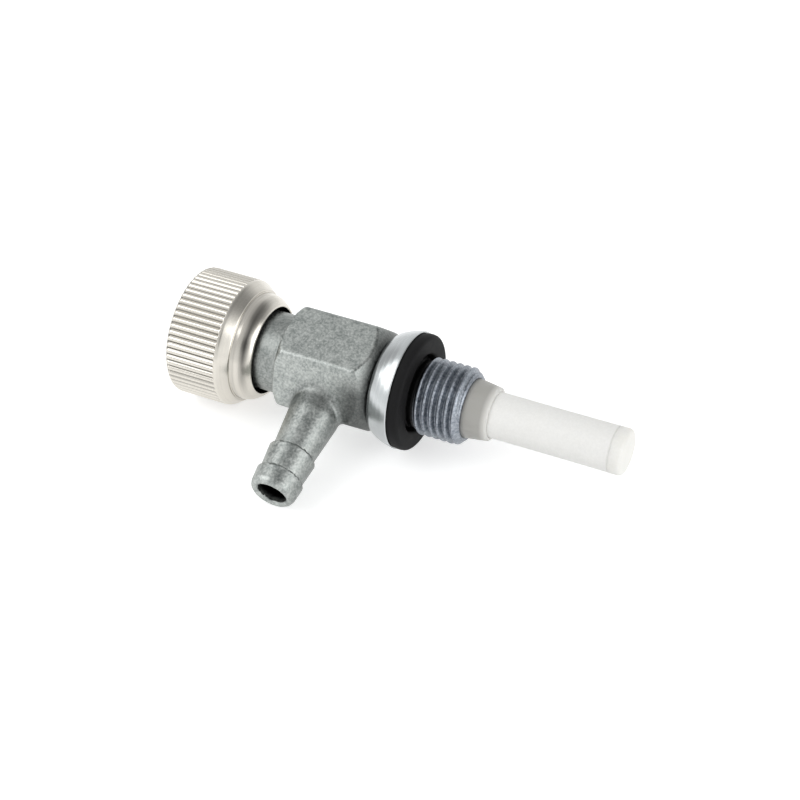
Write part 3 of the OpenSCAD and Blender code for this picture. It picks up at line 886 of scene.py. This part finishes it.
softened_copy("strainer_frame", "strainer_moulding", 0.07, nylon)
x_row = np.linspace(8.5, 25.88, 60)
turns = 128
t = np.arange(turns) * 2 * math.pi / turns
sag = 0.02 + 0.03 * (1 - np.cos(4 * t)) / 2 * np.sin(math.pi * (x_row[:, None] - 8.5) / 17.4)
outer = np.stack(
    [
        np.repeat(x_row[:, None], turns, 1),
        (3.0 - sag) * np.sin(t),
        -(3.0 - sag) * np.cos(t),
    ],
    -1,
)
inner = outer[::-1].copy()
inner[..., 1:] *= 1 - 0.2 / 3.0
points, faces = closed_grid(np.concatenate([outer, inner]), True)
add_mesh("gauze_sleeve", points, faces, "tap", "strainer_gauze", gauze)

# %% [markdown]
# ## Parts inside
# The spindle, its foot, pad, ring and seal keep the CAD mesh and only get a finish.

# %% Finishes of the parts inside
for node, material, slot in (
    ("valve_spindle", brass, "brass"),
    ("valve_foot", brass, "brass"),
    ("stop_ring", brass, "brass"),
    ("spindle_oring", rubber, "rubber"),
    ("valve_pad", rubber, "rubber"),
):
    part = frame["nodes"][node]
    part.data.materials.clear()
    part.data.materials.append(material)

# %% [markdown]
# ## Table and light
# The table is a white floor that the tap rests on. Seen by the camera, in metal or through
# the strainer it is topped up to white, which keeps the tap's soft shadow. The world is pale
# all round the horizon and greyer overhead. Bright metal shows what stands round it, so the
# world also has soft round patches: lit walls at the right and at the front left, a dark one
# behind on the right, and a dark one over the front where a photographer would stand.

# %% Table
FLOOR_Z = packed_low.z
floor_material, tree, shader = new_material("white_table")
shader.inputs["Base Color"].default_value = (0.80, 0.80, 0.80, 1.0)
shader.inputs["Roughness"].default_value = 0.6
path = tree.nodes.new("ShaderNodeLightPath")
seen = math_node(
    tree,
    "MAXIMUM",
    path.outputs["Is Camera Ray"],
    math_node(tree, "MAXIMUM", path.outputs["Is Glossy Ray"], path.outputs["Is Transmission Ray"]),
)
shader.inputs["Emission Color"].default_value = (1.0, 1.0, 1.0, 1.0)
tree.links.new(math_node(tree, "MULTIPLY", seen, 0.50), shader.inputs["Emission Strength"])
reach = 3.0
corners = [(-reach, -reach), (reach, -reach), (reach, reach), (-reach, reach)]
floor_mesh = bpy.data.meshes.new("table")
floor_mesh.from_pydata([(x, y, FLOOR_Z) for x, y in corners], [], [(0, 1, 2, 3)])
floor_mesh.materials.append(floor_material)
table = bpy.data.objects.new("table", floor_mesh)
bpy.context.scene.collection.objects.link(table)

# %% World
world = bpy.data.worlds.new("tent")
bpy.context.scene.world = world
world.use_nodes = True
tree = world.node_tree
background = tree.nodes["Background"]
sky = tree.nodes.new("ShaderNodeTexCoord")
sky_parts = tree.nodes.new("ShaderNodeSeparateXYZ")
tree.links.new(sky.outputs["Generated"], sky_parts.inputs[0])


def patch_of_sky(azimuth, elevation, edge, core, share):
    """A soft round patch: the cosine of the angle to its middle, ramped from the edge's cosine
    to the core's, times its share of light. Azimuth 0 is at -Y and 90 at +X. All in degrees."""
    a, e = math.radians(azimuth), math.radians(elevation)
    dot = tree.nodes.new("ShaderNodeVectorMath")
    dot.operation = "DOT_PRODUCT"
    tree.links.new(sky.outputs["Generated"], dot.inputs[0])
    dot.inputs[1].default_value = (
        math.sin(a) * math.cos(e), -math.cos(a) * math.cos(e), math.sin(e)
    )
    cosines = math.cos(math.radians(edge)), math.cos(math.radians(core))
    return math_node(tree, "MULTIPLY", ramp_node(tree, dot.outputs["Value"], *cosines), share)


overhead = ramp_node(tree, sky_parts.outputs[2], 0.20, 0.65)
light = math_node(tree, "SUBTRACT", 1.0, math_node(tree, "MULTIPLY", overhead, 0.30))
for part in (
    patch_of_sky(78, 10, 42, 12, 0.60),
    patch_of_sky(-35, 14, 40, 12, 0.12),
    patch_of_sky(-105, 28, 25, 12, -0.40),
    patch_of_sky(-130, 52, 40, 15, 0.20),
    patch_of_sky(143, 58, 45, 20, -0.40),
    patch_of_sky(36, 29, 18, 8, -0.50),
):
    light = math_node(tree, "ADD", light, part)
tree.links.new(math_node(tree, "MAXIMUM", light, 0.12), background.inputs["Strength"])
background.inputs["Color"].default_value = (0.985, 0.995, 1.0, 1.0)


# %% Lamps
def area_lamp(name, place, target, size, power):
    """A square soft lamp at a place, turned to a target, both in millimetres."""
    data = bpy.data.lights.new(name, "AREA")
    data.shape = "SQUARE"
    data.size = size * MM
    data.energy = power
    lamp = bpy.data.objects.new(name, data)
    bpy.context.scene.collection.objects.link(lamp)
    lamp.location = Vector(place) * MM
    aim = Vector(place) - Vector(target)
    lamp.rotation_mode = "QUATERNION"
    lamp.rotation_quaternion = aim.to_track_quat("Z", "Y")
    return lamp


area_lamp("key_left", (-320, -180, 330), (-5, 0, 0), 360, 0.9)
area_lamp("fill_right", (380, -60, 160), (-5, 0, 0), 300, 0.5)
